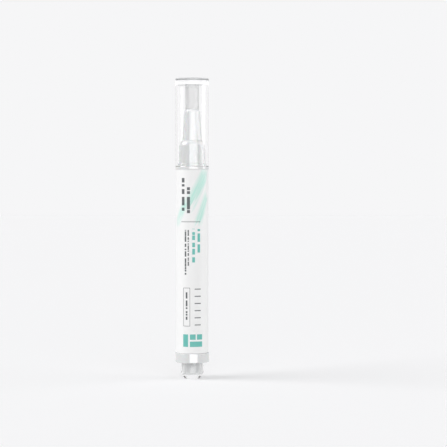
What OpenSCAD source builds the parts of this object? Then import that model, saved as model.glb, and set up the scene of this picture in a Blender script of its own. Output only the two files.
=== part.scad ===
// Click-action nail oil pen. A clear cap covers a brush on a moulded nozzle. The barrel holds
// the oil ahead of a piston, and each press of the clear button turns a ratchet that winds the
// piston forward. The pen stands on its button: z = 0 is the button's end face and +Z runs
// towards the cap. Millimetres.

/* [Push button] */
// Length of the button that shows below the collar
button_show_l = 7.4; // [6:0.1:9]
// Wall of the clear button round its hollow, as a share of its radius
button_wall_share = 0.3; // [0.25:0.01:0.33]
// Thickness of the button's end
button_end_t = 2.3; // [1.6:0.1:3]
// Diameter of the flat end that the pen stands on
button_foot_d = 7.1; // [6:0.1:8]
// Height of the bevel round that end
button_bevel_h = 2.5; // [1.5:0.1:3]
// How far one click presses the button in
click_travel = 2.8; // [2:0.1:3]

/* [Collar] */
// How far the end collar stands out from the barrel
collar_step = 0.3; // [0.1:0.05:0.8]
// Height of the end collar that shows
collar_h = 4.25; // [3.5:0.05:6]
// Length of the collar's neck inside the barrel
neck_l = 5.35; // [5:0.05:7]
// Wall of that neck, which sets the button's diameter, as a share of the bore's radius
neck_wall_share = 0.156; // [0.13:0.002:0.17]

/* [Barrel] */
// Outside diameter of the barrel
barrel_d = 14.6; // [13.2:0.1:16.4]
// Wall of the barrel
barrel_wall = 1.1; // [0.9:0.05:1.3]
// Stroke of the piston from full to empty
feed_travel = 30; // [24:1:33]

/* [Nozzle] */
// Length of the nozzle's plug inside the barrel
plug_l = 7.6; // [5:0.1:9]
// How far the flange that the cap stands on sticks out from the barrel
flange_step = 0.25; // [0.1:0.05:0.6]
// Height of that flange
flange_h = 1.2; // [0.8:0.1:2]
// Height of the ring that the cap's mouth fits round
seat_h = 1.35; // [1:0.05:3]
// Diameter of the skirt at its foot, as a share of the barrel's
skirt_share = 0.829; // [0.77:0.002:0.85]
// Diameter of the skirt below its shoulder, as a share of the barrel's
skirt_top_share = 0.795; // [0.75:0.002:0.82]
// Height of the skirt above the seat ring
skirt_h = 7.7; // [6:0.1:9]
// Radius that rounds the shoulder, as a share of the barrel's diameter
shoulder_share = 0.247; // [0.17:0.002:0.27]
// Diameter of the cone above the shoulder, as a share of the barrel's
cone_base_share = 0.603; // [0.56:0.002:0.64]
// Diameter of the cone below the bevelled tip, as a share of the barrel's
cone_top_share = 0.493; // [0.46:0.002:0.52]
// Height of the cone
cone_h = 12.75; // [10:0.05:14]
// Diameter of the flat round the brush, as a share of the barrel's
tip_share = 0.342; // [0.3:0.002:0.38]
// Height of the bevel below that flat
tip_bevel_h = 1.6; // [1:0.1:2]
// Wall of the nozzle
nozzle_wall = 1; // [0.8:0.05:1.2]

/* [Brush] */
// Diameter of the ferrule that grips the bristles
ferrule_d = 3; // [2.8:0.1:3.4]
// Wall of the ferrule
ferrule_wall = 0.3; // [0.2:0.05:0.35]
// Depth of the ferrule in the nozzle
ferrule_depth = 8.5; // [7:0.1:9]
// Length of bristle beyond the nozzle's tip
bristle_show_l = 7.6; // [5:0.1:9]
// Diameter of the bundle at its tips
bristle_tip_d = 2.4; // [2.2:0.1:2.6]
// How much shorter the outer bristles are than the middle ones
bristle_dome_h = 2.2; // [1:0.1:3]
// Bristle places across the bundle, an even number
bristle_rows = 20; // [20, 22]
// Outside diameter of the feed tube
feed_tube_d = 0.7; // [0.6:0.05:0.75]
// Wall of the feed tube
feed_tube_wall = 0.15; // [0.1:0.01:0.18]

/* [Cap] */
// How far the cap stands out from the barrel
cap_step = 0.2; // [0:0.05:0.6]
// Wall of the cap
cap_wall = 0.85; // [0.7:0.05:1]
// Room between the bristle tips and the cap's closed end
cap_room = 2.7; // [1:0.1:6]
// Thickness of the cap's closed end
cap_end_t = 2.9; // [1.5:0.1:4]
// Diameter of the sleeve in the cap that closes on the nozzle's tip, as a share of the barrel's
sleeve_share = 0.418; // [0.38:0.002:0.47]
// Wall of that sleeve
sleeve_wall = 0.75; // [0.6:0.05:1]

/* [Feed screw] */
// Diameter of the lead screw, as a share of the bore's
screw_share = 0.323; // [0.29:0.002:0.34]
// Width across the screw's two flats, as a share of its diameter
flats_share = 0.775; // [0.72:0.005:0.85]
// Length of the key that turns the screw
key_l = 5; // [4:0.1:6]
// Thickness of the nut's plug in the housing
nut_plug_t = 2.9; // [2:0.1:4]
// Height of the nut's neck ahead of the housing
nut_neck_h = 3; // [2:0.1:3.4]

/* [Click mechanism] */
// Teeth round the ratchet wheel
ratchet_teeth = 12; // [10:2:16]
// Height of a ratchet tooth, as a share of the bore's radius
tooth_share = 0.073; // [0.056:0.001:0.081]
// Degrees that one press swings the pawl driver
driver_swing = 34; // [28:1:38]
// Height of the driver's pawl cage
driver_cage_h = 3.6; // [3:0.1:5]
// Height of the detent ring
detent_h = 3.2; // [2.6:0.1:4]
// Wall of the mechanism housing above its ledge, as a share of the bore's radius
housing_wall_share = 0.132; // [0.12:0.001:0.145]
// Thickness of the housing's rear wall
housing_floor_t = 1.5; // [1.2:0.1:2]
// Length of the cam sleeve ahead of its flange
cam_l = 8.7; // [8:0.1:10]
// Length of the cam sleeve's spigot in the button
spigot_l = 7.4; // [5:0.1:7.6]
// Wire diameter of the return spring, as a share of the bore's radius
wire_share = 0.08; // [0.065:0.001:0.088]
// Turns of the return spring, with one close turn at each end
spring_turns = 7; // [6:1:8]

/* [Hidden] */
$fn = 96;

// Clearances and edges that the pieces share
press_gap = 0.02;
run_gap = 0.05;
turn_gap = 0.1;
end_gap = 0.3;
seat_gap = 0.05;
edge = 0.3;
fine_edge = 0.12;
overrun = 0.5;
arc_steps = 5;

// Radii from the barrel inwards
barrel_r = barrel_d / 2;
bore_r = barrel_r - barrel_wall;
neck_r = bore_r - press_gap;
neck_bore_r = neck_r - neck_wall_share * bore_r;
button_r = neck_bore_r - run_gap;
button_in_r = button_r * (1 - button_wall_share);
collar_r = barrel_r + collar_step;
ledge_share = 0.04;
housing_r = bore_r - press_gap;
housing_upper_r = housing_r - housing_wall_share * bore_r;
housing_lower_r = housing_upper_r - ledge_share * bore_r;

// Snap beads on the collar and the housing, and their grooves in the barrel
bead_h = 0.9;
bead_rise = 0.14;
groove_depth = bead_rise + run_gap;

// Flutes on the button and ribs in the collar that keep the button from turning
guide_count = 4;
flute_w = 1.2;
flute_depth = 0.45;
guide_inset = 1.35;

// Screw, ratchet wheel and driver radii from the axis outwards
screw_r = screw_share * bore_r;
screw_flat_r = flats_share * screw_r;
shaft_gap = 0.3;
hub_wall_share = 0.145;
wheel_wall_share = 0.185;
key_wall_share = 0.153;
hub_bore_r = screw_r + shaft_gap;
hub_r = hub_bore_r + hub_wall_share * bore_r;
wheel_root_r = hub_bore_r + wheel_wall_share * bore_r;
wheel_tip_r = wheel_root_r + tooth_share * bore_r;
key_hub_r = screw_r + run_gap + key_wall_share * bore_r;
tooth_pitch = 360 / ratchet_teeth;

// Pawls: two spring arms in a ring, with their noses at the tooth crests
pawl_count = 2;
pawl_arm_angle = 52;
pawl_root_angle = 5;
pawl_free_angle = 12;
pawl_nose_angle = 1;
pawl_steps = 10;
ride_gap = 0.06;
nose_share = 0.08;
cage_wall_share = 0.073;
cage_wall = cage_wall_share * bore_r;
arm_gap = 0.25;
cage_sector_angle = 360 / pawl_count - pawl_arm_angle - pawl_free_angle;
cage_r = housing_lower_r - turn_gap;
detent_r = housing_upper_r - run_gap;
detent_base_t = 0.7;
detent_wall_share = 0.08;
detent_base_share = 0.137;
detent_wall = detent_wall_share * bore_r;
detent_base_wall = detent_base_share * bore_r;

// Lugs that key the detent ring and the nut in the housing
lug_w = 1.8;
lug_rise_share = 0.065;
lug_rise = lug_rise_share * bore_r;
lug_angle = -cage_sector_angle / 2;

// Helical drive between the cam sleeve and the pawl driver
drive_starts = 3;
rib_h_share = 0.089;
rib_w_share = 0.18;
rib_h = rib_h_share * bore_r;
rib_w = rib_w_share * bore_r;
rib_root = rib_h / 2;
rib_tip_share = 0.8;
rib_gap = 0.12;
cam_lead_in = 1.8;
cam_groove_wall_share = 0.097;
drive_slice_h = 0.5;
cam_bore_r = hub_r + turn_gap;
cam_groove_r = hub_r + rib_h + rib_gap;
cam_r = cam_groove_r + cam_groove_wall_share * bore_r;
drive_twist = driver_swing / click_travel;

// Cam sleeve flange and spigot
flange_lap = 0.45;
cam_flange_t = 1.25;
cam_flange_r = neck_bore_r + flange_lap;
spigot_r = button_in_r - press_gap;
spigot_bore_r = hub_bore_r + turn_gap;

// Heights from the button up to the nut
collar_z0 = button_show_l;
collar_z1 = collar_z0 + collar_h;
neck_z1 = collar_z1 + neck_l;
guide_z0 = collar_z1 + guide_inset;
flute_z0 = guide_z0 - click_travel - end_gap;
cam_flange_z0 = neck_z1 + seat_gap;
cam_flange_z1 = cam_flange_z0 + cam_flange_t;
spigot_z0 = cam_flange_z0 - spigot_l;
cam_z1 = cam_flange_z1 + cam_l;
hub_z0 = cam_flange_z1 + click_travel + end_gap;
drive_rib_l = cam_l - click_travel - end_gap - cam_lead_in;
housing_z0 = cam_z1 + click_travel + end_gap;
housing_floor_z = housing_z0 + housing_floor_t;
disc_t = 1.3;
disc_z0 = housing_floor_z + turn_gap;
disc_z1 = disc_z0 + disc_t;
cage_z1 = disc_z1 + driver_cage_h;
ledge_z = cage_z1 + end_gap;
detent_z0 = ledge_z + seat_gap;
detent_z1 = detent_z0 + detent_h;
wheel_z0 = disc_z1 + turn_gap;
tooth_z1 = detent_z1 + end_gap;
key_z0 = tooth_z1 + edge;
wheel_z1 = key_z0 + key_l;
nut_z0 = wheel_z1 + turn_gap;
nut_skirt_z0 = detent_z1 + seat_gap;
housing_z1 = nut_z0 + nut_plug_t;
nut_z1 = housing_z1 + nut_neck_h;
nut_neck_wall = 1.5;
nut_skirt_wall = 0.9;

// Lead screw, with the head that snaps into the piston
screw_end_margin = 1;
screw_z0 = key_z0 - feed_travel - screw_end_margin;
shaft_z1 = nut_z1 + turn_gap;
boss_z0 = shaft_z1 + end_gap;
snap_lip_t = 0.75;
head_h = 1.5;
screw_neck_r = screw_flat_r - fine_edge;
head_r = screw_r - turn_gap;
head_z0 = boss_z0 + snap_lip_t + seat_gap;
head_z1 = head_z0 + head_h;

// Piston
piston_z0 = housing_z1 + end_gap;
piston_front_t = 1.6;
piston_wall = 1.1;
boss_wall = 1.1;
socket_r = head_r + turn_gap;
socket_z1 = head_z1 + turn_gap;
boss_r = socket_r + boss_wall;
front_z = socket_z1 + piston_front_t;
nose_h = 1.1;
nose_inset = 1.8;
nose_slope = 2.2;
lip_r = bore_r - press_gap;
lip_h = 1.1;
lip_slope_h = 0.9;
waist_depth = 0.5;
waist_r = lip_r - waist_depth;

// Barrel and nozzle heights
barrel_z0 = collar_z1;
plug_z0 = front_z + feed_travel + end_gap;
barrel_z1 = plug_z0 + plug_l;
flange_r = barrel_r + flange_step;
flange_z1 = barrel_z1 + flange_h;
seat_z1 = flange_z1 + seat_h;
skirt_r = skirt_share * barrel_r;
skirt_z1 = seat_z1 + skirt_h;
skirt_top_r = skirt_top_share * barrel_r;
cone_base_r = cone_base_share * barrel_r;
cone_top_r = cone_top_share * barrel_r;
shoulder_r = shoulder_share * barrel_d;
shoulder_in = shoulder_r - skirt_top_r + cone_base_r;
shoulder_h = sqrt(pow(shoulder_r, 2) - pow(shoulder_in, 2));
shoulder_angle = acos(shoulder_in / shoulder_r);
cone_z0 = skirt_z1 + shoulder_h;
cone_z1 = cone_z0 + cone_h;
tip_r = tip_share * barrel_r;
tip_z = cone_z1 + tip_bevel_h;
shoulder_steps = 10;

// Plug of the nozzle with its sealing ribs
plug_gap = 0.2;
plug_r = bore_r - plug_gap;
plug_wall = 1;
plug_in_r = plug_r - plug_wall;
seal_ribs = 3;
seal_rib_h = 0.8;
seal_rib_rise = plug_gap - press_gap;

// Brush, from the ferrule's socket in the nozzle to the bristle tips
ferrule_r = ferrule_d / 2;
ferrule_in_r = ferrule_r - ferrule_wall;
ferrule_socket_r = ferrule_r + press_gap;
ferrule_socket_z0 = tip_z - ferrule_depth;
ferrule_z0 = ferrule_socket_z0 + seat_gap;
ferrule_floor_t = 1.9;
ferrule_floor_z = ferrule_z0 + ferrule_floor_t;
ferrule_show = 0.5;
ferrule_z1 = tip_z + ferrule_show;
feed_tube_r = feed_tube_d / 2;
feed_bore_r = feed_tube_r + run_gap;
channel_l = 2;
cavity_z1 = ferrule_socket_z0 - channel_l;
feed_tube_z0 = cavity_z1 - end_gap;
feed_tube_z1 = tip_z;
backing_t = 0.8;
backing_z0 = ferrule_floor_z + seat_gap;
backing_r = ferrule_in_r - run_gap;
bristle_z0 = backing_z0 + backing_t;
bristle_z1 = tip_z + bristle_show_l;
bristle_spread = bristle_tip_d / (2 * backing_r);
bristle_taper_share = 0.75;
bristle_gap_share = 0.45;
bristle_trim = 0.35;
bristle_seed = 7;

// Bristle lattice: lines across a square of side 2 that is wrapped onto the round backing
bristle_pitch = 2 / (bristle_rows + bristle_gap_share);
lattice_cells = 2 * bristle_rows + 1;
tube_share = feed_bore_r / backing_r;
hole_reach = 2 * ceil(tube_share / bristle_pitch + bristle_gap_share / 2 - 1) + 1;
hole_first = bristle_rows - hole_reach;
hole_cells = 2 * hole_reach + 1;

// Cap
cap_r = barrel_r + cap_step;
cap_in_r = cap_r - cap_wall;
cap_z0 = flange_z1 + seat_gap;
cap_end_z = bristle_z1 + cap_room;
cap_z1 = cap_end_z + cap_end_t;
sleeve_r = sleeve_share * barrel_r;
sleeve_in_r = sleeve_r - sleeve_wall;
sleeve_fillet = 0.5;
seat_r = cap_in_r - run_gap;

// Return spring between the cam sleeve's flange and the housing
wire_r = wire_share * bore_r / 2;
wire_d = 2 * wire_r;
coil_gap_share = 0.073;
coil_gap = coil_gap_share * bore_r;
coil_r = cam_r + coil_gap + wire_r;
coil_rings = 8;
wire_sides = 6;
close_pitch = wire_d + coil_gap;
spring_z0 = cam_flange_z1 + seat_gap + wire_r;
spring_z1 = housing_z0 - seat_gap - wire_r;
open_pitch = (spring_z1 - spring_z0 - 2 * close_pitch) / (spring_turns - 2);

function polar(r, a) = [r * cos(a), r * sin(a)];
function lerp(a, b, share) = a + (b - a) * share;
function reversed(list) = [for (i = [len(list) - 1 : -1 : 0]) list[i]];
function arc(centre, r, a0, a1, steps) =
    [for (i = [0 : steps]) centre + polar(r, lerp(a0, a1, i / steps))];

// A bead on a wall of radius r, from its lower edge to its upper one
function bead(r, z, h, rise) =
    [[r, z - h / 2], [r + rise, z - h / 4], [r + rise, z + h / 4], [r, z + h / 2]];

// Radius of the nozzle's cone at a height, and height of its bevel at a radius
function cone_r_at(z) = lerp(cone_base_r, cone_top_r, (z - cone_z0) / cone_h);
function bevel_z_at(r) = tip_z - max(0, r - tip_r) * tip_bevel_h / (cone_top_r - tip_r);

// One arm of a pawl: it leaves its ring of radius r and bends in to the tooth crests
function pawl_outline(r, wall) =
    let (
        angles = [for (i = [0 : pawl_steps]) lerp(-pawl_root_angle, pawl_arm_angle, i / pawl_steps)],
        shares = [for (i = [0 : pawl_steps]) pow(i / pawl_steps, 2)],
        nose_r = wheel_tip_r + ride_gap,
        outer = [for (i = [0 : pawl_steps])
            polar(lerp(r - run_gap, nose_r + nose_share * bore_r, shares[i]), angles[i])],
        inner = [for (i = [0 : pawl_steps])
            polar(lerp(r - wall + run_gap, nose_r, shares[i]), angles[i])]
    )
    concat(outer, reversed(inner));

// Two triangles for a four-cornered face
function quad(a, b, c, d) = [[a, b, c], [a, c, d]];

module revolve(outline) {
    rotate_extrude(convexity = 8)
        polygon(outline);
}

module around(count) {
    for (i = [0 : count - 1])
        rotate(i * 360 / count)
            children();
}

module cap() {
    mouth_in = max(tip_r, sleeve_in_r);
    color("white", 0.35)
        revolve(concat(
            [[cap_in_r, cap_z0], [cap_r - edge, cap_z0]],
            arc([cap_r - edge, cap_z0 + edge], edge, -90, 0, arc_steps),
            arc([cap_r - edge, cap_z1 - edge], edge, 0, 90, arc_steps),
            [
                [0, cap_z1], [0, cap_end_z],
                [sleeve_in_r, cap_end_z],
                [sleeve_in_r, bevel_z_at(sleeve_in_r) + seat_gap],
                [mouth_in, bevel_z_at(mouth_in) + seat_gap],
                [sleeve_r, bevel_z_at(sleeve_r) + seat_gap]
            ],
            arc([sleeve_r + sleeve_fillet, cap_end_z - sleeve_fillet], sleeve_fillet, 180, 90, arc_steps),
            [[cap_in_r, cap_end_z]]
        ));
}

// Place of line k of the lattice, from -1 to 1
function lattice_line(k) =
    -1 + bristle_pitch * (floor(k / 2) + (k % 2 == 1 ? bristle_gap_share : 0));

// Wraps the square onto the disc ring by ring, which keeps every cell's area
function on_disc(u, v) =
    abs(u) >= abs(v) ? (u == 0 ? [0, 0] : polar(u, 45 * v / u)) : polar(v, 90 - 45 * u / v);

function lattice_point(k, l) = backing_r * on_disc(lattice_line(k), lattice_line(l));
function in_hole(k, l) =
    k >= hole_first && k < hole_first + hole_cells && l >= hole_first && l < hole_first + hole_cells;

// Lattice place of step s round a square loop of n cells a side that starts at cell c
function loop_place(s, c, n) =
    let (side = floor(s / n) % 4, t = s % n)
    side == 0 ? [c + t, c] :
    side == 1 ? [c + n, c + t] :
    side == 2 ? [c + n - t, c + n] : [c, c + n - t];

module brush_bristles() {
    lines = lattice_cells + 1;
    outer_n = 4 * lattice_cells;
    inner_n = 4 * hole_cells;
    outer_first = lines * lines;
    inner_first = outer_first + outer_n;
    tip_first = inner_first + inner_n;
    outer_loop = [for (s = [0 : outer_n]) loop_place(s, 0, lattice_cells)];
    inner_loop = [for (s = [0 : inner_n]) loop_place(s, hole_first, hole_cells)];
    strands = [for (i = [0 : bristle_rows - 1]) for (j = [0 : bristle_rows - 1])
        if (!in_hole(2 * i + 1, 2 * j + 1)) [2 * i + 1, 2 * j + 1]];
    trims = rands(0, bristle_trim, len(strands), bristle_seed);

    top_points = [for (k = [0 : lines - 1]) for (l = [0 : lines - 1])
        let (p = lattice_point(k, l)) [p.x, p.y, bristle_z0]];
    low_points = [for (s = [0 : outer_n - 1]) let (c = outer_loop[s], p = lattice_point(c.x, c.y))
        [p.x, p.y, backing_z0]];
    hole_points = [for (s = [0 : inner_n - 1]) let (c = inner_loop[s], p = lattice_point(c.x, c.y))
        [p.x, p.y, backing_z0]];
    tip_points = [for (n = [0 : len(strands) - 1])
        let (
            c = strands[n],
            corners = [
                lattice_point(c.x, c.y), lattice_point(c.x + 1, c.y),
                lattice_point(c.x + 1, c.y + 1), lattice_point(c.x, c.y + 1)
            ],
            middle = (corners[0] + corners[2]) / 2,
            z = bristle_z1 - trims[n] - bristle_dome_h * pow(norm(middle) / backing_r, 2)
        )
        for (corner = corners)
            let (p = bristle_spread * (middle + bristle_taper_share * (corner - middle)))
            [p.x, p.y, z]];

    function top(c) = c.x * lines + c.y;
    function inner_at(t) =
        len([for (u = [0 : hole_cells - 1]) if (outer_at(u) <= t) u]);
    function outer_at(u) = round((u + 0.5) * lattice_cells / hole_cells);

    flats = [for (k = [0 : lattice_cells - 1]) for (l = [0 : lattice_cells - 1])
        if (!(k % 2 == 1 && l % 2 == 1) && !in_hole(k, l))
            each quad(top([k, l]), top([k, l + 1]), top([k + 1, l + 1]), top([k + 1, l]))];
    bristle_sides = [for (n = [0 : len(strands) - 1])
        let (
            c = strands[n],
            root = [top(c), top(c + [1, 0]), top(c + [1, 1]), top(c + [0, 1])],
            tip = [for (q = [0 : 3]) tip_first + 4 * n + q]
        )
        each concat(
            quad(tip[0], tip[3], tip[2], tip[1]),
            [for (q = [0 : 3]) each quad(tip[q], tip[(q + 1) % 4], root[(q + 1) % 4], root[q])]
        )];
    outer_wall = [for (s = [0 : outer_n - 1])
        each quad(top(outer_loop[s]), top(outer_loop[s + 1]),
            outer_first + (s + 1) % outer_n, outer_first + s)];
    hole_wall = [for (s = [0 : inner_n - 1])
        each quad(top(inner_loop[s + 1]), top(inner_loop[s]),
            inner_first + s, inner_first + (s + 1) % inner_n)];
    underside = [for (side = [0 : 3]) each concat(
        [for (t = [0 : lattice_cells - 1]) [
            outer_first + side * lattice_cells + t,
            outer_first + (side * lattice_cells + t + 1) % outer_n,
            inner_first + (side * hole_cells + inner_at(t)) % inner_n
        ]],
        [for (u = [0 : hole_cells - 1]) [
            inner_first + (side * hole_cells + u + 1) % inner_n,
            inner_first + side * hole_cells + u,
            outer_first + (side * lattice_cells + outer_at(u)) % outer_n
        ]]
    )];

    color("whitesmoke")
        polyhedron(
            points = concat(top_points, low_points, hole_points, tip_points),
            faces = concat(flats, bristle_sides, outer_wall, hole_wall, underside)
        );
}

module brush_ferrule() {
    color("gainsboro")
        revolve([
            [feed_bore_r, ferrule_z0], [ferrule_r - fine_edge, ferrule_z0],
            [ferrule_r, ferrule_z0 + fine_edge], [ferrule_r, ferrule_z1 - fine_edge],
            [ferrule_r - fine_edge, ferrule_z1], [ferrule_in_r, ferrule_z1],
            [ferrule_in_r, ferrule_floor_z], [feed_bore_r, ferrule_floor_z]
        ]);
}

module feed_tube() {
    feed_tube_in_r = feed_tube_r - feed_tube_wall;
    color("silver")
        revolve([
            [feed_tube_in_r, feed_tube_z0], [feed_tube_r, feed_tube_z0],
            [feed_tube_r, feed_tube_z1], [feed_tube_in_r, feed_tube_z1]
        ]);
}

module nozzle() {
    rib_pitch = plug_l / (seal_ribs + 1);
    color("floralwhite", 0.9)
        revolve(concat(
            [[plug_in_r, plug_z0], [plug_r - edge, plug_z0], [plug_r, plug_z0 + edge]],
            [for (i = [1 : seal_ribs])
                each bead(plug_r, plug_z0 + i * rib_pitch, seal_rib_h, seal_rib_rise)],
            [[plug_r, barrel_z1], [flange_r - fine_edge, barrel_z1]],
            arc([flange_r - fine_edge, barrel_z1 + fine_edge], fine_edge, -90, 0, arc_steps),
            arc([flange_r - fine_edge, flange_z1 - fine_edge], fine_edge, 0, 90, arc_steps),
            [[seat_r, flange_z1], [seat_r, seat_z1 - edge], [seat_r - edge, seat_z1]],
            [[skirt_r, seat_z1]],
            arc([skirt_top_r - shoulder_r, skirt_z1], shoulder_r, 0, shoulder_angle, shoulder_steps),
            [
                [cone_top_r, cone_z1], [tip_r, tip_z],
                [ferrule_socket_r, tip_z], [ferrule_socket_r, ferrule_socket_z0],
                [feed_bore_r, ferrule_socket_z0], [feed_bore_r, cavity_z1],
                [cone_r_at(cavity_z1) - nozzle_wall, cavity_z1],
                [cone_base_r - nozzle_wall, cone_z0],
                [skirt_top_r - nozzle_wall, skirt_z1],
                [skirt_r - nozzle_wall, seat_z1],
                [plug_in_r, barrel_z1]
            ]
        ));
}

module barrel() {
    collar_groove_z = collar_z1 + neck_l / 2;
    housing_groove_z = housing_z0 + bead_h;
    color("white")
        revolve(concat(
            [[bore_r, barrel_z0], [barrel_r - fine_edge, barrel_z0], [barrel_r, barrel_z0 + fine_edge]],
            [[barrel_r, barrel_z1 - fine_edge], [barrel_r - fine_edge, barrel_z1]],
            [[bore_r + fine_edge, barrel_z1], [bore_r, barrel_z1 - edge]],
            reversed(bead(bore_r, housing_groove_z, bead_h + end_gap, groove_depth)),
            reversed(bead(bore_r, collar_groove_z, bead_h + end_gap, groove_depth))
        ));
}

module piston() {
    inner_r = waist_r - piston_wall;
    color("whitesmoke")
        revolve([
            [0, socket_z1], [socket_r, socket_z1], [socket_r, boss_z0 + snap_lip_t],
            [screw_neck_r + turn_gap, boss_z0 + snap_lip_t], [screw_neck_r + turn_gap, boss_z0],
            [boss_r, boss_z0], [boss_r, front_z - piston_front_t], [inner_r, front_z - piston_front_t],
            [inner_r, piston_z0], [lip_r - edge, piston_z0],
            [lip_r, piston_z0 + edge], [lip_r, piston_z0 + lip_h],
            [waist_r, piston_z0 + lip_h + lip_slope_h], [waist_r, front_z - lip_h - lip_slope_h],
            [lip_r, front_z - lip_h], [lip_r, front_z - edge], [lip_r - edge, front_z],
            [lip_r - nose_inset, front_z], [lip_r - nose_inset - nose_slope, front_z + nose_h],
            [0, front_z + nose_h]
        ]);
}

module lead_screw() {
    color("ivory") {
        difference() {
            revolve([
                [0, screw_z0], [screw_r - edge, screw_z0], [screw_r, screw_z0 + edge],
                [screw_r, shaft_z1], [0, shaft_z1]
            ]);
            around(2)
                translate([screw_flat_r, -screw_r, screw_z0 - overrun])
                    cube([screw_r, 2 * screw_r, shaft_z1 - screw_z0 + 2 * overrun]);
        }
        revolve([
            [0, shaft_z1 - edge], [screw_neck_r, shaft_z1 - edge], [screw_neck_r, head_z0],
            [head_r, head_z0], [head_r, head_z1 - edge], [head_r - edge, head_z1], [0, head_z1]
        ]);
    }
}

// Lug at the key angle of the housing, from one radius to another
module lug(r0, r1, width, z0, z1) {
    around(2)
        rotate(lug_angle)
            translate([r0, -width / 2, z0])
                cube([r1 - r0, width, z1 - z0]);
}

module screw_nut() {
    nut_r = housing_upper_r - press_gap;
    nut_bore_r = screw_r + run_gap;
    neck_outer_r = nut_bore_r + nut_neck_wall;
    color("ivory") {
        revolve([
            [nut_bore_r, nut_z0], [nut_r - nut_skirt_wall, nut_z0], [nut_r - nut_skirt_wall, nut_skirt_z0],
            [nut_r, nut_skirt_z0], [nut_r, housing_z1], [neck_outer_r, housing_z1],
            [neck_outer_r, nut_z1 - edge], [neck_outer_r - edge, nut_z1],
            [nut_bore_r + fine_edge, nut_z1], [nut_bore_r, nut_z1 - fine_edge]
        ]);
        lug(nut_r - edge, housing_upper_r + lug_rise, lug_w, nut_z0, housing_z1);
    }
}

module ratchet_wheel() {
    first_tooth = pawl_arm_angle + pawl_nose_angle;
    color("khaki")
        difference() {
            union() {
                translate([0, 0, wheel_z0])
                    linear_extrude(tooth_z1 - wheel_z0)
                        polygon([for (i = [0 : ratchet_teeth - 1]) each [
                            polar(wheel_root_r, first_tooth + i * tooth_pitch),
                            polar(wheel_tip_r, first_tooth + i * tooth_pitch)
                        ]]);
                translate([0, 0, key_z0 - edge - overrun])
                    cylinder(r = key_hub_r, h = wheel_z1 - key_z0 + edge + overrun);
            }
            translate([0, 0, wheel_z0 - overrun])
                cylinder(r = hub_bore_r, h = key_z0 - wheel_z0 + overrun);
            translate([0, 0, wheel_z0])
                intersection() {
                    cylinder(r = screw_r + run_gap, h = wheel_z1 - wheel_z0 + overrun);
                    translate([-screw_flat_r - run_gap, -hub_bore_r, 0])
                        cube([2 * (screw_flat_r + run_gap), 2 * hub_bore_r, wheel_z1 - wheel_z0 + overrun]);
                }
        }
}

// Ring sectors of a pawl cage, with the free arms between them
module pawl_cage(r, wall, z0, z1, arm_z0, arm_z1) {
    around(pawl_count) {
        rotate(-cage_sector_angle)
            translate([0, 0, z0])
                rotate_extrude(angle = cage_sector_angle)
                    translate([r - wall, 0])
                        square([wall, z1 - z0]);
        translate([0, 0, arm_z0])
            linear_extrude(arm_z1 - arm_z0)
                polygon(pawl_outline(r, wall));
    }
}

module detent_ring() {
    color("khaki") {
        translate([0, 0, detent_z1 - detent_base_t])
            rotate_extrude()
                translate([detent_r - detent_base_wall, 0])
                    square([detent_base_wall, detent_base_t]);
        pawl_cage(detent_r, detent_wall, detent_z0, detent_z1 - detent_base_t / 2,
            detent_z0, detent_z1 - detent_base_t - arm_gap);
        lug(detent_r - edge, housing_upper_r + lug_rise, lug_w, detent_z0 + edge, detent_z1);
    }
}

// The drive's helix: a rib on the hub, or with a gap round it the groove that it runs in
module drive_helix(r_tip, gap, z0, z1) {
    tip_w = rib_w * rib_tip_share;
    around(drive_starts)
        translate([0, 0, z0])
            rotate(-drive_twist * (z0 - hub_z0))
                linear_extrude(z1 - z0, twist = drive_twist * (z1 - z0),
                    slices = ceil((z1 - z0) / drive_slice_h), segments = 4)
                    polygon([
                        [hub_r - rib_root, -rib_w / 2 - gap], [r_tip, -tip_w / 2 - gap],
                        [r_tip, tip_w / 2 + gap], [hub_r - rib_root, rib_w / 2 + gap]
                    ]);
}

module pawl_driver() {
    color("wheat") {
        revolve([
            [hub_bore_r, hub_z0], [hub_r, hub_z0], [hub_r, disc_z0], [cage_r, disc_z0],
            [cage_r, disc_z1], [hub_bore_r, disc_z1]
        ]);
        pawl_cage(cage_r, cage_wall, disc_z1 - edge, cage_z1, disc_z1 + arm_gap, cage_z1);
        drive_helix(hub_r + rib_h, 0, hub_z0 + fine_edge, hub_z0 + drive_rib_l);
    }
}

module mechanism_housing() {
    journal_r = hub_r + turn_gap;
    color("lavender")
        difference() {
            revolve(concat(
                [[journal_r, housing_z0], [housing_r - fine_edge, housing_z0]],
                [[housing_r, housing_z0 + fine_edge]],
                bead(housing_r, housing_z0 + bead_h, bead_h, bead_rise),
                [
                    [housing_r, housing_z1 - edge], [housing_r - edge, housing_z1],
                    [housing_upper_r, housing_z1], [housing_upper_r, ledge_z],
                    [housing_lower_r, ledge_z], [housing_lower_r, housing_floor_z],
                    [journal_r, housing_floor_z]
                ]
            ));
            lug(housing_upper_r - edge, housing_upper_r + lug_rise + run_gap, lug_w + 2 * run_gap,
                ledge_z + edge, housing_z1 + overrun);
        }
}

function coil_height(turn) =
    turn < 1 ? spring_z0 + turn * close_pitch :
    turn > spring_turns - 1 ? spring_z1 - (spring_turns - turn) * close_pitch :
    spring_z0 + close_pitch + (turn - 1) * open_pitch;

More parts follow.
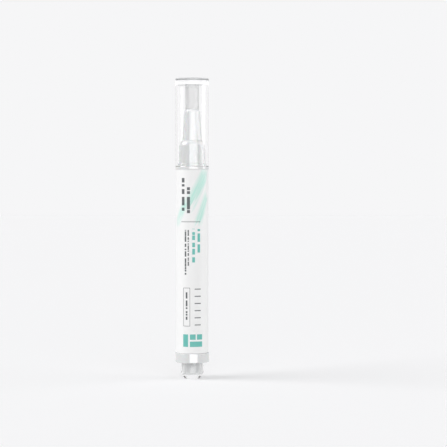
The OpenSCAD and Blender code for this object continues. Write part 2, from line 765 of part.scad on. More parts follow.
module return_spring() {
    last = spring_turns * coil_rings;
    centres = [for (i = [0 : last])
        let (turn = i / coil_rings, p = polar(coil_r, 360 * turn)) [p.x, p.y, coil_height(turn)]];
    rings = [for (i = [0 : last])
        let (
            a = 360 * i / coil_rings,
            rise = coil_height(min(i + 1, last) / coil_rings) - coil_height(max(i - 1, 0) / coil_rings),
            run = coil_r * (min(i + 1, last) - max(i - 1, 0)) * 2 * PI / coil_rings,
            slope = atan(rise / run),
            outward = [cos(a), sin(a), 0],
            upward = [sin(slope) * sin(a), -sin(slope) * cos(a), cos(slope)]
        )
        for (j = [0 : wire_sides - 1])
            let (b = 360 * j / wire_sides)
            centres[i] + wire_r * (cos(b) * outward + sin(b) * upward)];
    skin = [for (i = [0 : last - 1]) for (j = [0 : wire_sides - 1])
        let (next = (j + 1) % wire_sides, low = i * wire_sides, high = low + wire_sides)
        each quad(low + j, low + next, high + next, high + j)];
    first_end = [for (j = [1 : wire_sides - 2]) [0, j + 1, j]];
    last_low = last * wire_sides;
    last_end = [for (j = [1 : wire_sides - 2]) [last_low, last_low + j, last_low + j + 1]];
    least_gap = min([for (i = [0 : last - coil_rings]) for (j = [i + coil_rings - 1 : last])
        norm(centres[i] - centres[j])]) - wire_d;
    echo(spring_least_gap = least_gap);
    color("silver")
        polyhedron(points = rings, faces = concat(skin, first_end, last_end));
}

module cam_sleeve() {
    color("lavenderblush")
        difference() {
            revolve([
                [spigot_bore_r, spigot_z0], [spigot_r - edge, spigot_z0], [spigot_r, spigot_z0 + edge],
                [spigot_r, cam_flange_z0], [cam_flange_r, cam_flange_z0], [cam_flange_r, cam_flange_z1],
                [cam_r, cam_flange_z1], [cam_r, cam_z1 - fine_edge], [cam_r - fine_edge, cam_z1],
                [cam_bore_r, cam_z1], [cam_bore_r, cam_flange_z1], [spigot_bore_r, cam_flange_z1]
            ]);
            drive_helix(cam_groove_r, rib_gap, cam_flange_z1 + end_gap / 2, cam_z1 + overrun);
        }
}

module push_button() {
    fillet = edge;
    color("azure", 0.5)
        difference() {
            revolve(concat(
                [[0, 0], [button_foot_d / 2, 0], [button_r, button_bevel_h], [button_r, neck_z1]],
                [[button_in_r, neck_z1]],
                arc([button_in_r - fillet, button_end_t + fillet], fillet, 0, -90, arc_steps),
                [[0, button_end_t]]
            ));
            around(guide_count)
                translate([button_r - flute_depth, -flute_w / 2, flute_z0])
                    cube([flute_depth + overrun, flute_w, neck_z1 - flute_z0 + overrun]);
        }
}

module end_collar() {
    guide_w = flute_w - 2 * run_gap;
    guide_in = button_r - flute_depth + run_gap;
    color("snow", 0.9) {
        revolve(concat(
            [[neck_bore_r, collar_z0]],
            arc([collar_r - edge, collar_z0 + edge], edge, -90, 0, arc_steps),
            arc([collar_r - edge, collar_z1 - edge], edge, 0, 90, arc_steps),
            [[neck_r, collar_z1]],
            bead(neck_r, collar_z1 + neck_l / 2, bead_h, bead_rise),
            [[neck_r, neck_z1 - edge], [neck_r - edge, neck_z1], [neck_bore_r, neck_z1]]
        ));
        around(guide_count)
            translate([guide_in, -guide_w / 2, guide_z0])
                cube([neck_bore_r - guide_in + fine_edge, guide_w, neck_z1 - guide_z0]);
    }
}

cap();
brush_bristles();
brush_ferrule();
feed_tube();
nozzle();
barrel();
piston();
lead_screw();
screw_nut();
ratchet_wheel();
detent_ring();
pawl_driver();
mechanism_housing();
return_spring();
cam_sleeve();
push_button();
end_collar();
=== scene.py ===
# Click-action nail oil pen, standing on its clear button with its clear cap on.
# Everything is in metres in the CAD frame: the pen's axis is Z, and the viewer looks along +Y.
# Pieces follow in the order in which the pen is put together, from the barrel to the cap.
# Sizes are in millimetres unless a name says metres. MM or metres() turns them to metres.
import math
import random

import bmesh
import bpy
from mathutils import Matrix, Vector


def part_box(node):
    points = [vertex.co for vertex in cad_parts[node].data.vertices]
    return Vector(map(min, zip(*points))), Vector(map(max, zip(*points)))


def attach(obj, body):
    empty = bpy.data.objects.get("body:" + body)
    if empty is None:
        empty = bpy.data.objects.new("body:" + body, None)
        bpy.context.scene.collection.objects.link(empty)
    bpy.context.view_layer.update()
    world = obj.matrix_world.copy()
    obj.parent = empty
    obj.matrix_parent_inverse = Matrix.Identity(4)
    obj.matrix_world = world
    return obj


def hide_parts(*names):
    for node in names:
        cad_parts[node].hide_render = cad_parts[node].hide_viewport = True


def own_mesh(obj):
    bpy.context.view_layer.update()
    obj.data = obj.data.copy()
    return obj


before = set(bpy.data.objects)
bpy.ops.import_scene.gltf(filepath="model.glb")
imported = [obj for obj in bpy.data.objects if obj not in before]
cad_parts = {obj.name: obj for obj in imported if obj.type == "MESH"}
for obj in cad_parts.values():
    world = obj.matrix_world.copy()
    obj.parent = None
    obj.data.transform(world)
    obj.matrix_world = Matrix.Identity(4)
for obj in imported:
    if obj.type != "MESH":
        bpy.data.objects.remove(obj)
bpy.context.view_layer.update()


# Camera
# The lens stands a little above the barrel's middle and looks almost level, so the cap's end is
# seen from just below and the collar from above. One pixel of the 447-pixel frame is 0.45 mm.
MM = 0.001
SCENE = bpy.context.scene
FRAME_PX = 447
PIXEL_MM = 0.45
LENS_MM = 116
LOOK_DOWN = math.radians(1.35)
CAMERA_AIM = (14.1, 0, 69.7)
CLIP_METRES = (0.05, 30)


def metres(*sizes):
    """Millimetres to a vector in metres."""
    return Vector([size * MM for size in sizes])


camera = bpy.data.objects.new("camera", bpy.data.cameras.new("camera"))
camera.data.lens = LENS_MM
camera.data.clip_start, camera.data.clip_end = CLIP_METRES
distance = FRAME_PX * PIXEL_MM * MM * LENS_MM / camera.data.sensor_width
towards_lens = Vector((0, -math.cos(LOOK_DOWN), math.sin(LOOK_DOWN)))
camera.location = metres(*CAMERA_AIM) + distance * towards_lens
camera.rotation_euler = (math.pi / 2 - LOOK_DOWN, 0, 0)
SCENE.collection.objects.link(camera)
SCENE.camera = camera
SCENE.view_settings.view_transform = "Standard"


# Floor and surroundings
# A pale seamless sheet under plain studio light. Part of what the camera sees of it is its own
# pale colour and part is lit, so the pen keeps a soft shadow on an even background.
PAPER = "#F6F6F7"
PAPER_BOUNCE = "#E2E2E2"
FLOOR_HALF_METRES = 4.0
FLOOR_OWN_SHARE = 0.40
FLOOR_LIT_SHARE = 0.63
AMBIENT_STRENGTH = 0.28


def linear(hex_colour):
    """sRGB hex to the linear colour that a socket takes."""
    parts = [int(hex_colour[i:i + 2], 16) / 255 for i in (1, 3, 5)]
    return tuple(c / 12.92 if c <= 0.04045 else ((c + 0.055) / 1.055) ** 2.4
                 for c in parts) + (1,)


def add(tree, kind, links=None, **settings):
    """Adds a node. links gives an input, by its name or number, a value, a socket or a node,
    and of a node the first output is taken."""
    node = tree.nodes.new("ShaderNode" + kind)
    for key, value in settings.items():
        setattr(node, key, value)
    for key, value in (links or {}).items():
        if isinstance(value, bpy.types.Node):
            value = value.outputs[0]
        if isinstance(value, bpy.types.NodeSocket):
            tree.links.new(value, node.inputs[key])
        else:
            node.inputs[key].default_value = value
    return node


def seen_directly(tree):
    """1 for rays from the camera, off a gloss or through a clear wall, otherwise 0."""
    path = add(tree, "LightPath").outputs
    seen = add(tree, "Math", {0: path["Is Camera Ray"], 1: path["Is Glossy Ray"]},
               operation="MAXIMUM")
    return add(tree, "Math", {0: seen, 1: path["Is Transmission Ray"]}, operation="MAXIMUM")


floor_bm = bmesh.new()
bmesh.ops.create_grid(floor_bm, x_segments=1, y_segments=1, size=FLOOR_HALF_METRES)
floor_mesh = bpy.data.meshes.new("floor")
floor_bm.to_mesh(floor_mesh)
floor_bm.free()
floor = bpy.data.objects.new("floor", floor_mesh)
SCENE.collection.objects.link(floor)
# Gloss doesn't see the floor, only the lamps and the pale surroundings, as on a low table.
floor.visible_glossy = False

# Matt paper: an even pale grey-white without any sheen.
paper = bpy.data.materials.new("seamless paper, matt")
paper.use_nodes = True
tree = paper.node_tree
tree.nodes.clear()
lit_colour = tuple(c * FLOOR_LIT_SHARE for c in linear(PAPER)[:3]) + (1,)
own = add(tree, "Emission", {"Color": linear(PAPER), "Strength": FLOOR_OWN_SHARE})
lit = add(tree, "BsdfDiffuse", {"Color": lit_colour})
both = add(tree, "AddShader", {0: own, 1: lit})
bounce = add(tree, "BsdfDiffuse", {"Color": linear(PAPER_BOUNCE)})
mixed = add(tree, "MixShader", {0: seen_directly(tree), 1: bounce, 2: both})
add(tree, "OutputMaterial", {"Surface": mixed})
floor.data.materials.append(paper)

world = bpy.data.worlds.new("studio")
world.use_nodes = True
SCENE.world = world
tree = world.node_tree
tree.nodes.clear()
shown = add(tree, "Background", {"Color": linear(PAPER), "Strength": 1.0})
ambient = add(tree, "Background", {"Color": linear(PAPER), "Strength": AMBIENT_STRENGTH})
mixed = add(tree, "MixShader", {0: seen_directly(tree), 1: ambient, 2: shown})
add(tree, "OutputWorld", {"Surface": mixed})


# Studio lamps
# Broad lamps far off, so the floor is lit evenly. The low one in front shows as the white band on
# the round pieces, the high one lights what faces up, the left one lights that side and throws
# the shadow to the right, and the right one fills that side.
def soft_lamp(name, azimuth, elevation, spread, strength):
    """A far lamp as wide as its spread. Angles are in degrees, azimuth to the camera's right."""
    lamp = bpy.data.objects.new(name, bpy.data.lights.new(name, "SUN"))
    lamp.data.angle = math.radians(spread)
    lamp.data.energy = strength
    side, lift = math.radians(azimuth), math.radians(elevation)
    away = Vector((math.sin(side) * math.cos(lift), -math.cos(side) * math.cos(lift),
                   math.sin(lift)))
    lamp.rotation_euler = away.to_track_quat("Z", "Y").to_euler()
    SCENE.collection.objects.link(lamp)


soft_lamp("key", azimuth=11, elevation=6, spread=60, strength=1.2)
soft_lamp("key_top", azimuth=11, elevation=62, spread=60, strength=0.42)
soft_lamp("fill_left", azimuth=-82, elevation=37, spread=44, strength=1.95)
soft_lamp("fill_right", azimuth=92, elevation=25, spread=50, strength=0.95)


# Barrel
# The tube that holds the oil: polypropylene, moulded white with a soft gloss and printed before
# assembly. Two grooves in its bore take the snap beads of the collar and the mechanism housing.
def reach(node):
    """The radius, lowest height and highest height of a CAD node, rounded to plain sizes."""
    low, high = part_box(node)
    return round(high.x / MM, 3), round(low.z / MM, 2), round(high.z / MM, 2)


BARREL_R, *BARREL_Z = reach("barrel")
COLLAR_R, COLLAR_Z, NECK_TOP_Z = reach("end_collar")
HOUSING_Z = reach("mechanism_housing")[1]
PRESS_GAP = 0.02
SEAT_GAP = 0.05
TURN_GAP = 0.1
BARREL_WALL = 1.1
BORE_R = BARREL_R - BARREL_WALL
BORE_LEAD_IN = (0.12, 0.3)
COLLAR_BEAD_Z = (BARREL_Z[0] + NECK_TOP_Z) / 2
HOUSING_BEAD_RISE = 0.9
HOUSING_BEAD_Z = HOUSING_Z + HOUSING_BEAD_RISE
# A groove or a bead is drawn as (height from its middle, depth or rise).
GROOVE = ((0.6, 0), (0.225, 0.19), (-0.225, 0.19), (-0.6, 0))
ROUND_SEGMENTS = 4
ROUND_MARGIN = 0.05
MERGE_METRES = 1e-7
EDGE = 0.3
FINE_EDGE = 0.12


def turned(outline, steps=128):
    """Spins an outline about the pen's axis. A point is (radius, height) in millimetres, and a
    third number rounds that corner. An outline that starts and ends on the axis is left open.
    A rounded corner gets a ring close to it on each side, so the long faces shade straight."""
    points = []
    for i, point in enumerate(outline):
        here = Vector(point[:2])
        if len(point) == 2:
            points.append((here, 0))
            continue
        before = Vector(outline[i - 1][:2])
        after = Vector(outline[(i + 1) % len(outline)][:2])
        beside = point[2] + ROUND_MARGIN
        points += [(here + (before - here).normalized() * beside, 0), (here, point[2]),
                   (here + (after - here).normalized() * beside, 0)]
    bm = bmesh.new()
    verts = [bm.verts.new(metres(at.x, 0, at.y)) for at, radius in points]
    for a, b in zip(verts, verts[1:]):
        bm.edges.new((a, b))
    if outline[0][0] > 0 or outline[-1][0] > 0:
        bm.edges.new((verts[-1], verts[0]))
    for size in sorted({radius for at, radius in points if radius}):
        corners = [vert for vert, (at, radius) in zip(verts, points) if radius == size]
        bmesh.ops.bevel(bm, geom=corners, offset=size * MM, offset_type="OFFSET",
                        segments=ROUND_SEGMENTS, profile=0.5, affect="VERTICES", material=-1)
    bmesh.ops.spin(bm, geom=bm.verts[:] + bm.edges[:], cent=(0, 0, 0), axis=(0, 0, 1),
                   dvec=(0, 0, 0), angle=2 * math.pi, steps=steps, use_merge=True,
                   use_duplicate=False)
    bmesh.ops.remove_doubles(bm, verts=bm.verts[:], dist=MERGE_METRES)
    bmesh.ops.recalc_face_normals(bm, faces=bm.faces[:])
    return bm


def piece(name, bm, material, sharp=28):
    """Makes a bmesh an object with smooth faces and edges that stay sharp above an angle."""
    for face in bm.faces:
        face.smooth = True
    mesh = bpy.data.meshes.new(name)
    bm.to_mesh(mesh)
    bm.free()
    mesh.set_sharp_from_angle(angle=math.radians(sharp))
    mesh.materials.append(material)
    made = bpy.data.objects.new(name, mesh)
    SCENE.collection.objects.link(made)
    return made


def finish(name, grain, rough, depth, **sockets):
    """A Principled material. A grain of a size in millimetres varies its roughness between two
    values and lifts its surface by a depth. Sockets are named with underscores for spaces."""
    material = bpy.data.materials.new(name)
    material.use_nodes = True
    tree = material.node_tree
    shader = tree.nodes["Principled BSDF"]
    for key, value in sockets.items():
        shader.inputs[key.replace("_", " ")].default_value = value
    place = add(tree, "TexCoord").outputs["Object"]
    noise = add(tree, "TexNoise", {"Vector": place, "Scale": 1 / MM / grain, "Detail": 3})
    spread = add(tree, "MapRange", {"Value": noise, "To Min": rough[0], "To Max": rough[1]})
    bump = add(tree, "Bump", {"Height": noise, "Strength": 0.3, "Distance": depth * MM})
    tree.links.new(spread.outputs[0], shader.inputs["Roughness"])
    tree.links.new(bump.outputs[0], shader.inputs["Normal"])
    return material


# White polypropylene from a fine satin mould: even and bright, with a broad soft sheen.
white_gloss = finish("white polypropylene, satin moulded and printed",
                     grain=2.5, rough=(0.38, 0.46), depth=0.002,
                     IOR=1.49, Coat_Weight=0.25, Coat_Roughness=0.3)

# The print is generic: soft teal strokes, broken columns, thin rules and plain blocks. It is
# laid out by arc length round the barrel from its front, and by height, both in millimetres.
WHITE = "#F4F4F4"
PALE_TEAL = "#B9EADD"
TEAL = "#69BDB4"
DARK = "#3C4347"
INK_MIN_R = BARREL_R - 0.3
INK_EDGE = 0.08
RULE_W = 0.2
BAR_COUNT = 6
BAR_RISE = 3.2
# Where along its noise each column starts, and the noise at which a dash breaks off.
COLUMN_SHIFT = 17.3
COLUMN_BREAK = (0.415, 0.425)
# Brushed fibres: how many to a millimetre, along a stroke and across it, and how far in
# millimetres they fray its ends. The sides fray by a share of that.
FIBRES_ALONG = 0.12
FIBRES_ACROSS = 1.5
FRAY_ENDS = 12.0
FRAY_SIDE_SHARE = 0.12
# How softly a stroke's ends and sides fade, in millimetres, and its thinnest ink.
FADE_ENDS = 3.0
FADE_SIDES = 1.6
THIN_INK = 0.35

ink_tree = white_gloss.node_tree
xyz = add(ink_tree, "SeparateXYZ", {0: add(ink_tree, "TexCoord").outputs["Object"]})
x_mm, y_mm, height = [add(ink_tree, "Math", {0: xyz.outputs[axis], 1: 1 / MM},
                          operation="MULTIPLY") for axis in "XYZ"]
frontward = add(ink_tree, "Math", {0: y_mm, 1: -1.0}, operation="MULTIPLY")
bearing = add(ink_tree, "Math", {0: x_mm, 1: frontward}, operation="ARCTAN2")
along = add(ink_tree, "Math", {0: bearing, 1: BARREL_R}, operation="MULTIPLY")
x_squared = add(ink_tree, "Math", {0: x_mm, 1: x_mm}, operation="MULTIPLY")
y_squared = add(ink_tree, "Math", {0: y_mm, 1: y_mm}, operation="MULTIPLY")
r_squared = add(ink_tree, "Math", {0: x_squared, 1: y_squared}, operation="ADD")
outside = add(ink_tree, "Math", {0: r_squared, 1: INK_MIN_R ** 2}, operation="GREATER_THAN")


def span(value, middle, width, edge):
    """1 where value is within half a width of middle, falling to 0 over edge."""
    off = add(ink_tree, "Math", {0: value, 1: middle}, operation="SUBTRACT")
    off = add(ink_tree, "Math", {0: off}, operation="ABSOLUTE")
    return add(ink_tree, "MapRange", {"Value": off, "From Min": width / 2 + edge / 2,
                                      "From Max": width / 2 - edge / 2})


def patch(arc, level, wide, tall):
    """A block of print: arc length and height of its middle, its width and its height."""
    return add(ink_tree, "Math", {0: span(along, arc, wide, INK_EDGE),
                                  1: span(height, level, tall, INK_EDGE)}, operation="MULTIPLY")


def column(arc, level, wide, tall, dash):
    """A column of print that breaks into dashes of about one length."""
    place = add(ink_tree, "Math", {0: height, 1: 1 / dash}, operation="MULTIPLY")
    place = add(ink_tree, "Math", {0: place, 1: COLUMN_SHIFT * arc}, operation="ADD")
    noise = add(ink_tree, "TexNoise", {"W": place, "Scale": 1.0, "Detail": 0.0},
                noise_dimensions="1D")
    broken = add(ink_tree, "MapRange", {"Value": noise, "From Min": COLUMN_BREAK[0],
                                        "From Max": COLUMN_BREAK[1]})
    return add(ink_tree, "Math", {0: patch(arc, level, wide, tall), 1: broken},
               operation="MULTIPLY")


def stroke(arc, level, length, width, tilt):
    """A soft brushed stroke about a middle, tilted in degrees, with its fibres along it."""
    tilts = (math.cos(math.radians(tilt)), math.sin(math.radians(tilt)))
    right = add(ink_tree, "Math", {0: along, 1: arc}, operation="SUBTRACT")
    up = add(ink_tree, "Math", {0: height, 1: level}, operation="SUBTRACT")
    right_run, right_rise = [add(ink_tree, "Math", {0: right, 1: share}, operation="MULTIPLY")
                             for share in tilts]
    up_rise, up_run = [add(ink_tree, "Math", {0: up, 1: share}, operation="MULTIPLY")
                       for share in tilts]
    run = add(ink_tree, "Math", {0: right_run, 1: up_run}, operation="ADD")
    rise = add(ink_tree, "Math", {0: up_rise, 1: right_rise}, operation="SUBTRACT")
    fibre_run = add(ink_tree, "Math", {0: run, 1: FIBRES_ALONG}, operation="MULTIPLY")
    fibre_rise = add(ink_tree, "Math", {0: rise, 1: FIBRES_ACROSS}, operation="MULTIPLY")
    fibres = add(ink_tree, "CombineXYZ", {0: fibre_run, 1: fibre_rise, 2: float(arc)})
    streak = add(ink_tree, "TexNoise", {"Vector": fibres, "Scale": 1.0, "Detail": 3.0})
    about_0 = add(ink_tree, "Math", {0: streak, 1: 0.5}, operation="SUBTRACT")
    fray = add(ink_tree, "Math", {0: about_0, 1: FRAY_ENDS}, operation="MULTIPLY")
    side_fray = add(ink_tree, "Math", {0: fray, 1: FRAY_SIDE_SHARE}, operation="MULTIPLY")
    run = add(ink_tree, "Math", {0: run, 1: fray}, operation="ADD")
    rise = add(ink_tree, "Math", {0: rise, 1: side_fray}, operation="ADD")
    shape = add(ink_tree, "Math", {0: span(run, 0.0, length, FADE_ENDS),
                                   1: span(rise, 0.0, width, FADE_SIDES)}, operation="MULTIPLY")
    body = add(ink_tree, "MapRange", {"Value": streak, "From Min": 0.3, "From Max": 0.6,
                                      "To Min": THIN_INK})
    return add(ink_tree, "Math", {0: shape, 1: body}, operation="MULTIPLY")


def lay_ink(under, ink, masks, strength=1.0):
    """Lays one ink over the colour under it, wherever one of the masks is."""
    share = masks[0]
    for mask in masks[1:]:
        share = add(ink_tree, "Math", {0: share, 1: mask}, operation="MAXIMUM")
    for part in (outside, strength):
        share = add(ink_tree, "Math", {0: share, 1: part}, operation="MULTIPLY")
    # Inputs 6 and 7 and output 2 of the node are its colours.
    return add(ink_tree, "Mix", {"Factor": share, 6: under, 7: linear(ink)},
               data_type="RGBA").outputs[2]


strokes = [stroke(3.2, 86.0, 17.0, 4.4, 62), stroke(5.4, 76.5, 13.0, 3.2, 68),
           stroke(-5.0, 75.0, 12.0, 2.6, 60)]
rules = [patch(-0.6, 70.6, 9.0, 0.26), patch(-3.9, 32.6, RULE_W, 17.0),
         patch(-0.9, 32.6, RULE_W, 17.0), patch(-2.4, 41.1, 3.2, RULE_W),
         patch(-2.4, 24.1, 3.2, RULE_W)]
dark = [column(-4.1, 83.0, 1.4, 15.0, 1.7), column(-1.5, 80.0, 1.4, 12.0, 1.7),
        column(-2.9, 57.0, 0.75, 20.0, 1.1), column(-1.6, 59.0, 0.6, 16.0, 0.9),
        column(-2.4, 33.0, 0.8, 13.0, 1.2)]
dark += [patch(2.7, 24.6 + BAR_RISE * i, 2.9, 0.42) for i in range(BAR_COUNT)]
teal = [column(0.8, 60.0, 1.25, 15.0, 1.6), column(3.2, 62.0, 1.25, 11.0, 1.6),
        patch(-2.9, 17.6, 2.4, 5.6), patch(0.4, 19.2, 2.6, 2.4), patch(3.6, 19.2, 2.6, 2.4),
        patch(2.0, 16.0, 5.8, 2.4)]

colour = lay_ink(linear(WHITE), PALE_TEAL, strokes, strength=0.9)
colour = lay_ink(colour, DARK, rules + dark, strength=0.92)
colour = lay_ink(colour, TEAL, teal)
ink_tree.links.new(colour, ink_tree.nodes["Principled BSDF"].inputs["Base Color"])

outline = [(BORE_R, BARREL_Z[0]), (BARREL_R, BARREL_Z[0], 0.35),
           (BARREL_R, BARREL_Z[1], FINE_EDGE), (BORE_R + BORE_LEAD_IN[0], BARREL_Z[1]),
           (BORE_R, BARREL_Z[1] - BORE_LEAD_IN[1])]
for middle in (HOUSING_BEAD_Z, COLLAR_BEAD_Z):
    outline += [(BORE_R + deep, middle + up) for up, deep in GROOVE]
barrel = piece("barrel_tube", turned(outline), white_gloss)
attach(barrel, "pen_body")
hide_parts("barrel")


# End collar
# The ring that closes the barrel's end and guides the button: natural polypropylene, moulded,
# with a neck whose bead snaps into the barrel. Four ribs in the neck run in the button's flutes.
NECK_R = BORE_R - PRESS_GAP
NECK_BORE_R = 5.213
BEAD = ((-0.45, 0), (-0.225, 0.14), (0.225, 0.14), (0.45, 0))
GUIDE_COUNT = 4
# A guide rib or flute: radius and height of its middle, then its depth, width and height.
GUIDE_AT, GUIDE_SIZE = (5.04, 15.0), (0.56, 1.1, 3.98)


def add_blocks(bm, at, size):
    """Adds the same block at each of the guides round the axis."""
    for i in range(GUIDE_COUNT):
        bmesh.ops.create_cube(bm, size=1.0,
                              matrix=Matrix.Rotation(math.pi / 2 * i, 4, "Z")
                              @ Matrix.Translation(metres(at[0], 0, at[1]))
                              @ Matrix.Diagonal((*metres(*size), 1)))


# Polypropylene without pigment: milky white, glossy, so the lamps show on it as bands.
natural_pp = finish("natural polypropylene, gloss moulded",
                    grain=1.8, rough=(0.16, 0.22), depth=0.002,
                    Base_Color=linear("#E8EAEA"), IOR=1.5,
                    Coat_Weight=1.0, Coat_IOR=1.8, Coat_Roughness=0.06,
                    Subsurface_Weight=0.1, Subsurface_Scale=2 * MM)

# The two rings that stand proud of the barrel come from a polished part of the mould, so the
# front lamp shows on them as a hard white block. Their base is greyer than the nozzle's natural
# polypropylene: painted shade, which darkens their sides against that block.
polished_pp_painted_shade = finish("natural polypropylene, polished ring",
                     grain=1.8, rough=(0.30, 0.36), depth=0.002,
                     Base_Color=linear("#D2D4D4"), IOR=1.5,
                     Coat_Weight=1.0, Coat_IOR=2.7, Coat_Roughness=0.03,
                     Subsurface_Weight=0.1, Subsurface_Scale=2 * MM)

bm = turned([(NECK_BORE_R, COLLAR_Z), (COLLAR_R, COLLAR_Z, EDGE),
             (COLLAR_R, BARREL_Z[0], 0.15), (NECK_R, BARREL_Z[0])]
            + [(NECK_R + rise, COLLAR_BEAD_Z + up) for up, rise in BEAD]
            + [(NECK_R, NECK_TOP_Z, 0.2), (NECK_BORE_R, NECK_TOP_Z)])
add_blocks(bm, GUIDE_AT, GUIDE_SIZE)
collar = piece("collar_ring", bm, polished_pp_painted_shade)
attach(collar, "pen_body")
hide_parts("end_collar")


# Push button
# The clear button that is clicked, and on which the pen stands: styrene-acrylonitrile, moulded
# with a polished bevel. It is hollow, with flutes for the collar's ribs.
BUTTON_R, FOOT_Z, BUTTON_TOP_Z = reach("push_button")
BUTTON_IN_R = 3.614
BUTTON_END_T = 2.3
BUTTON_BEVEL_H = 2.5
FOOT_R = 3.55
FOOT_RECESS_R = (2.7, 2.9)
FOOT_RECESS_H = 0.2
# The hollow's faces lie within this radius and above this height, the foot's below this height.
HOLLOW_FACES = (BUTTON_IN_R + 0.02, BUTTON_END_T + 0.04)
FOOT_FACES_Z = FOOT_Z + 0.01
FLUTE_AT, FLUTE_SIZE = (5.2, 14.0), (0.98, 1.3, 8.2)


def refinish(made, material, covers):
    """Adds a finish for the faces whose centre, as (radius, height), passes a test."""
    made.data.materials.append(material)
    for face in made.data.polygons:
        centre = face.center / MM
        if covers(math.hypot(centre.x, centre.y), centre.z):
            face.material_index = len(made.data.materials) - 1


# The button's wall hardly bends what is behind it, so its hollow shows at nearly its own width.
# The index is lower than the plastic's for that, and the coat keeps the plastic's gloss.
button_wall = finish("clear styrene-acrylonitrile, button wall",
                     grain=6.0, rough=(0.01, 0.03), depth=0.001,
                     Base_Color=linear("#FFFFFF"), IOR=1.33, Transmission_Weight=1.0,
                     Coat_Weight=1.0, Coat_IOR=1.57, Coat_Roughness=0.02)

# The hollow's core pin and the standing ring aren't polished, so they look frosted. Their grey
# tone, darker than the sleeve's frost, is painted shade of the hollow and the foot.
button_bore_painted_shade = finish("clear styrene-acrylonitrile, button bore",
                     grain=0.6, rough=(0.32, 0.40), depth=0.004,
                     Base_Color=linear("#E6E8E8"), IOR=1.57, Transmission_Weight=0.4)

bm = turned([(0, FOOT_RECESS_H), (FOOT_RECESS_R[0], FOOT_RECESS_H, 0.1),
             (FOOT_RECESS_R[1], FOOT_Z, 0.05), (FOOT_R, FOOT_Z, FINE_EDGE),
             (BUTTON_R, BUTTON_BEVEL_H, 0.25), (BUTTON_R, BUTTON_TOP_Z),
             (BUTTON_IN_R, BUTTON_TOP_Z), (BUTTON_IN_R, BUTTON_END_T, EDGE), (0, BUTTON_END_T)])
button = piece("clear_button", bm, button_wall)
# The hollow's and the foot's faces get the frosted finish with painted grey shade.
refinish(button, button_bore_painted_shade, lambda r, z: r < HOLLOW_FACES[0] and z > HOLLOW_FACES[1]
         or z < FOOT_FACES_Z)

# Four flutes, cut with a Boolean that is applied at once.
bm = bmesh.new()
add_blocks(bm, FLUTE_AT, FLUTE_SIZE)
cutter = piece("flute_cutter", bm, button_wall)
cut = button.modifiers.new("flutes", "BOOLEAN")
cut.object = cutter
cut.solver = "EXACT"
bpy.context.view_layer.update()
evaluated = button.evaluated_get(bpy.context.evaluated_depsgraph_get())
fluted = bpy.data.meshes.new_from_object(evaluated)
button.modifiers.clear()
button.data = fluted
bpy.data.objects.remove(cutter)
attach(button, "button")
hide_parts("push_button")


# Cam sleeve, driver, wheel, detent, housing and nut
# The click mechanism, moulded in acetal and packed in the barrel: the button's cam swings the
# driver, which turns the wheel and its screw past the detent.
def recoat(node, material):
    """Gives a CAD node that stays a finish in place of its own."""
    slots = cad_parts[node].data.materials
    slots.clear()
    slots.append(material)


# Acetal: opaque and a little waxy, whiter where it holds pigment and yellower where natural.
white_acetal = finish("white acetal, moulded", grain=0.9, rough=(0.32, 0.42), depth=0.003,
                      Base_Color=linear("#ECECE8"), IOR=1.48)
natural_acetal = finish("natural acetal, moulded", grain=0.9, rough=(0.34, 0.45), depth=0.003,
                        Base_Color=linear("#E4E1D4"), IOR=1.48)
for node in ("cam_sleeve", "mechanism_housing", "screw_nut"):
    recoat(node, white_acetal)
for node in ("pawl_driver", "ratchet_wheel", "detent_ring"):
    recoat(node, natural_acetal)


# Return spring
# Steel wire, cold coiled with a close turn at each end, between the cam sleeve's flange and the
# housing. It shortens by the button's travel.
WIRE_R = 0.248
WIRE_SIDES = 12
COIL_R = 5.175
CAM_FLANGE_Z = 18.3
SPRING_ANCHOR_Z = HOUSING_Z
SPRING_Z = (CAM_FLANGE_Z + SEAT_GAP, SPRING_ANCHOR_Z - SEAT_GAP)
CLOSE_TURNS = 1
CLOSE_RISE = 0.53
ACTIVE_TURNS = 5
TURN_STEPS = 48

# Drawn stainless wire: bright, with the fine grain that the die leaves.
steel = finish("stainless steel, drawn", grain=0.4, rough=(0.18, 0.32), depth=0.001,
               Base_Color=linear("#C3C4C6"), Metallic=1.0)

bm = bmesh.new()
start = (Matrix.Translation(metres(COIL_R, 0, SPRING_Z[0] + WIRE_R))
         @ Matrix.Rotation(math.pi / 2, 4, "X"))
bmesh.ops.create_circle(bm, segments=WIRE_SIDES, radius=WIRE_R * MM, cap_ends=True, matrix=start)
wire_end = bm.verts[:] + bm.edges[:] + bm.faces[:]
active_rise = (SPRING_Z[1] - SPRING_Z[0] - 2 * WIRE_R - 2 * CLOSE_RISE) / ACTIVE_TURNS
close = (CLOSE_TURNS, CLOSE_RISE)
for turns, rise in (close, (ACTIVE_TURNS, active_rise), close):
    wire_end = bmesh.ops.spin(bm, geom=wire_end, cent=(0, 0, 0), axis=(0, 0, 1),
                              dvec=(0, 0, rise * MM / TURN_STEPS), angle=2 * math.pi * turns,
                              steps=TURN_STEPS * turns, use_merge=False,
                              use_duplicate=False)["geom_last"]
bmesh.ops.recalc_face_normals(bm, faces=bm.faces[:])
spring = piece("coil_spring", bm, steel)
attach(spring, "pen_body")
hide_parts("return_spring")
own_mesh(spring)


# Piston and lead screw
# The screw is acetal, with two flats that the wheel turns and a head that snaps into the
# piston. The piston is polyethylene, with two lips that wipe the bore.
SCREW_HEAD_R, SCREW_END_Z, SCREW_TOP_Z = reach("lead_screw")
SCREW_R = SCREW_HEAD_R + TURN_GAP
SCREW_ROOT_R = 1.66
SCREW_FLAT_R = 1.552
SCREW_NECK_R = SCREW_FLAT_R - FINE_EDGE
SCREW_Z = (SCREW_END_Z, reach("screw_nut")[2] + TURN_GAP)
SCREW_HEAD_H = 1.5
SCREW_HEAD_Z = (SCREW_TOP_Z - SCREW_HEAD_H, SCREW_TOP_Z)
# How far the head's neck is sunk in the core.
SCREW_LAP = 0.3
SCREW_STEPS = 64
THREAD_LEAD = 2.0
THREAD_ARC = math.radians(96)
THREAD_STEPS = 12
THREAD_START = 0.9
THREAD_ARCS = 41
